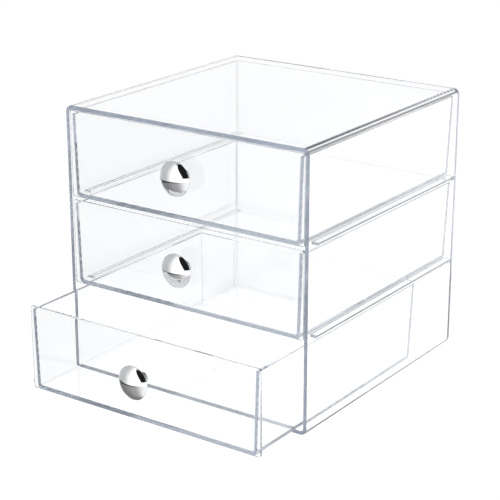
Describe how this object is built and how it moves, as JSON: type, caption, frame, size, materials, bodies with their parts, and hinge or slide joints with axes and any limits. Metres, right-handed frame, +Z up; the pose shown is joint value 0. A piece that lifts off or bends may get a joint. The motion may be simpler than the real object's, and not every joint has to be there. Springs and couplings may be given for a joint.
{
  "type": "desk organizer drawers",
  "caption": "Clear open-fronted case with moulded side ledges that carry identical clear pull-out drawers, each with a round polished metal knob.",
  "frame": {"origin": "centre of the case's bottom face", "axes": "+Z up, +Y from the open front towards the closed back, +X to the right seen from the front; the drawers open towards -Y"},
  "size_m": [0.165, 0.2163, 0.1624],
  "materials": {
    "clear_case": "clear, polished moulding with a faint blue-grey edge tint",
    "clear_drawer": "clear, polished moulding with a faint blue-grey edge tint",
    "knob_chrome": "mirror polished plating",
    "screw_steel": "bright zinc plated"
  },
  "bodies": {
    "case": {"case_shell": "clear_case"},
    "top_drawer_body": {"top_drawer": "clear_drawer", "top_knob": "knob_chrome", "top_knob_screw": "screw_steel"},
    "middle_drawer_body": {"middle_drawer": "clear_drawer", "middle_knob": "knob_chrome", "middle_knob_screw": "screw_steel"},
    "bottom_drawer_body": {"bottom_drawer": "clear_drawer", "bottom_knob": "knob_chrome", "bottom_knob_screw": "screw_steel"}
  },
  "joints": [
    {"name": "top_drawer_slide", "type": "slide", "parent": "case", "child": "top_drawer_body", "axis": [0, -1, 0], "range_m": [0, 0.12]},
    {"name": "middle_drawer_slide", "type": "slide", "parent": "case", "child": "middle_drawer_body", "axis": [0, -1, 0], "range_m": [0, 0.12]},
    {"name": "bottom_drawer_slide", "type": "slide", "parent": "case", "child": "bottom_drawer_body", "axis": [0, -1, 0], "range_m": [-0.04, 0.08]}
  ]
}
